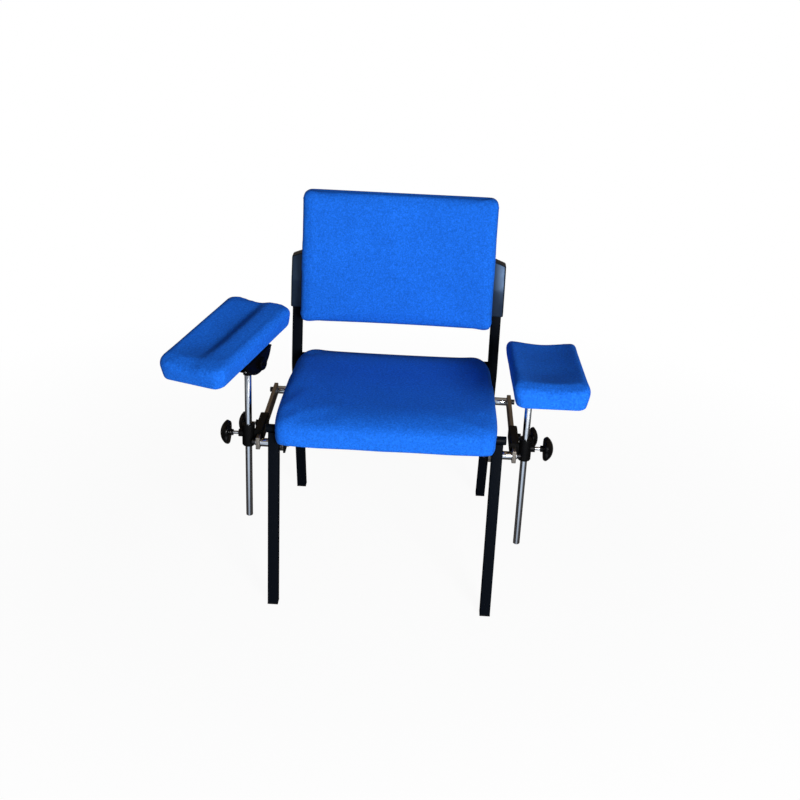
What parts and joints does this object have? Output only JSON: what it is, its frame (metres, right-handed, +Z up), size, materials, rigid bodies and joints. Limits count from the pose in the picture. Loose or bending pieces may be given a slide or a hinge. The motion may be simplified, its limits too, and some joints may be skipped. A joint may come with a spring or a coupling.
{
  "type": "phlebotomy chair",
  "caption": "Blood-draw chair: tube frame, dished fabric seat and back, and padded gutter arms that slide, lift, swivel and tilt on clamped posts.",
  "frame": {"origin": "on the floor, at the middle of the whole footprint (bottom centre of the bounding box)", "axes": "+Z up, -Y the way the chair faces, +X to the right of someone who stands in front and faces the chair"},
  "size_m": [0.9458, 0.6719, 0.8932],
  "materials": {
    "frame_black": "black powder coat, satin",
    "bar_steel": "bright rolled steel",
    "post_chrome": "polished chrome plate",
    "zinc_steel": "bright zinc plate",
    "clamp_black": "black moulded nylon, fine grain",
    "knob_black": "black phenolic, half gloss",
    "shell_slate": "dark slate moulding, fine grain",
    "blue_fabric": "royal blue woven upholstery",
    "plywood": "birch plywood, sanded",
    "bracket_black": "black powder coat, satin"
  },
  "bodies": {
    "frame": {"front_leg_left": "frame_black", "front_leg_right": "frame_black", "rear_leg_left": "frame_black", "rear_leg_right": "frame_black", "front_cross_tube": "frame_black", "rear_cross_tube": "frame_black", "cross_tube_plugs": "shell_slate", "foot_inserts": "shell_slate", "seat_rail_left": "frame_black", "seat_rail_right": "frame_black", "seat_board": "plywood", "seat_pad": "blue_fabric", "seat_screws": "zinc_steel", "back_board": "plywood", "back_pad": "blue_fabric", "back_shell": "shell_slate", "back_screws": "zinc_steel", "upright_sleeve_left": "shell_slate", "upright_sleeve_right": "shell_slate", "sleeve_screws": "zinc_steel", "hanger_brackets": "bracket_black", "bracket_screws": "zinc_steel", "rail_bolts": "zinc_steel", "rail_washers": "zinc_steel", "rail_nuts": "zinc_steel", "inner_bar_left": "bar_steel", "inner_bar_right": "bar_steel", "arm_rail_left": "bar_steel", "arm_rail_right": "bar_steel", "rail_spacers_left": "zinc_steel", "rail_spacers_right": "zinc_steel"},
    "clamp_left": {"clamp_body_left": "clamp_black"},
    "rail_knob_left": {"rail_lock_knob_left": "knob_black", "rail_lock_stud_left": "zinc_steel"},
    "height_knob_left": {"height_lock_knob_left": "knob_black", "height_lock_stud_left": "zinc_steel"},
    "post_left": {"arm_post_left": "post_chrome"},
    "head_left": {"swivel_head_left": "bracket_black", "swivel_screw_left": "zinc_steel"},
    "arm_left": {"tilt_bracket_left": "bracket_black", "tilt_bolt_left": "bracket_black", "arm_board_left": "plywood", "arm_board_screws_left": "zinc_steel", "arm_pad_left": "blue_fabric"},
    "nut_left": {"tilt_lock_nut_left": "bracket_black"},
    "clamp_right": {"clamp_body_right": "clamp_black"},
    "rail_knob_right": {"rail_lock_knob_right": "knob_black", "rail_lock_stud_right": "zinc_steel"},
    "height_knob_right": {"height_lock_knob_right": "knob_black", "height_lock_stud_right": "zinc_steel"},
    "post_right": {"arm_post_right": "post_chrome"},
    "head_right": {"swivel_head_right": "bracket_black", "swivel_screw_right": "zinc_steel"},
    "arm_right": {"tilt_bracket_right": "bracket_black", "tilt_bolt_right": "bracket_black", "arm_board_right": "plywood", "arm_board_screws_right": "zinc_steel", "arm_pad_right": "blue_fabric"},
    "nut_right": {"tilt_lock_nut_right": "bracket_black"}
  },
  "joints": [
    {"name": "clamp_slide_left", "type": "slide", "parent": "frame", "child": "clamp_left", "axis": [0, 1, 0], "range_m": [0, 0.12]},
    {"name": "rail_knob_turn_left", "type": "hinge", "parent": "clamp_left", "child": "rail_knob_left", "pos_m": [-0.2988, -0.1165, 0.396], "axis": [-1, 0, 0], "range_deg": [0, 540]},
    {"name": "height_knob_turn_left", "type": "hinge", "parent": "clamp_left", "child": "height_knob_left", "pos_m": [-0.3235, -0.1965, 0.408], "axis": [-1, 0, 0], "range_deg": [0, 540]},
    {"name": "post_lift_left", "type": "slide", "parent": "clamp_left", "child": "post_left", "axis": [0, 0, 1], "range_m": [-0.08, 0.1]},
    {"name": "head_swivel_left", "type": "hinge", "parent": "post_left", "child": "head_left", "pos_m": [-0.288, -0.1965, 0.574], "axis": [0, 0, -1], "range_deg": [-30.7, 24.3]},
    {"name": "pad_tilt_left", "type": "hinge", "parent": "head_left", "child": "arm_left", "pos_m": [-0.27598, -0.16469, 0.574], "axis": [-0.9354, 0.3535, 0], "range_deg": [-11.3, 28.7]},
    {"name": "tilt_nut_turn_left", "type": "hinge", "parent": "arm_left", "child": "nut_left", "pos_m": [-0.27598, -0.16469, 0.574], "axis": [-0.9354, 0.3535, 0], "range_deg": [0, 540]},
    {"name": "clamp_slide_right", "type": "slide", "parent": "frame", "child": "clamp_right", "axis": [0, 1, 0], "range_m": [0, 0.12]},
    {"name": "rail_knob_turn_right", "type": "hinge", "parent": "clamp_right", "child": "rail_knob_right", "pos_m": [0.3658, -0.1165, 0.396], "axis": [1, 0, 0], "range_deg": [0, 540]},
    {"name": "height_knob_turn_right", "type": "hinge", "parent": "clamp_right", "child": "height_knob_right", "pos_m": [0.3905, -0.1965, 0.408], "axis": [1, 0, 0], "range_deg": [0, 540]},
    {"name": "post_lift_right", "type": "slide", "parent": "clamp_right", "child": "post_right", "axis": [0, 0, 1], "range_m": [-0.042, 0.138]},
    {"name": "head_swivel_right", "type": "hinge", "parent": "post_right", "child": "head_right", "pos_m": [0.355, -0.1965, 0.536], "axis": [0, 0, 1], "range_deg": [-10.8, 44.2]},
    {"name": "pad_tilt_right", "type": "hinge", "parent": "head_right", "child": "arm_right", "pos_m": [0.35453, -0.1625, 0.536], "axis": [-0.9999, -0.014, 0], "range_deg": [-23.6, 16.4]},
    {"name": "tilt_nut_turn_right", "type": "hinge", "parent": "arm_right", "child": "nut_right", "pos_m": [0.35453, -0.1625, 0.536], "axis": [-0.9999, -0.014, 0], "range_deg": [0, 540]}
  ]
}
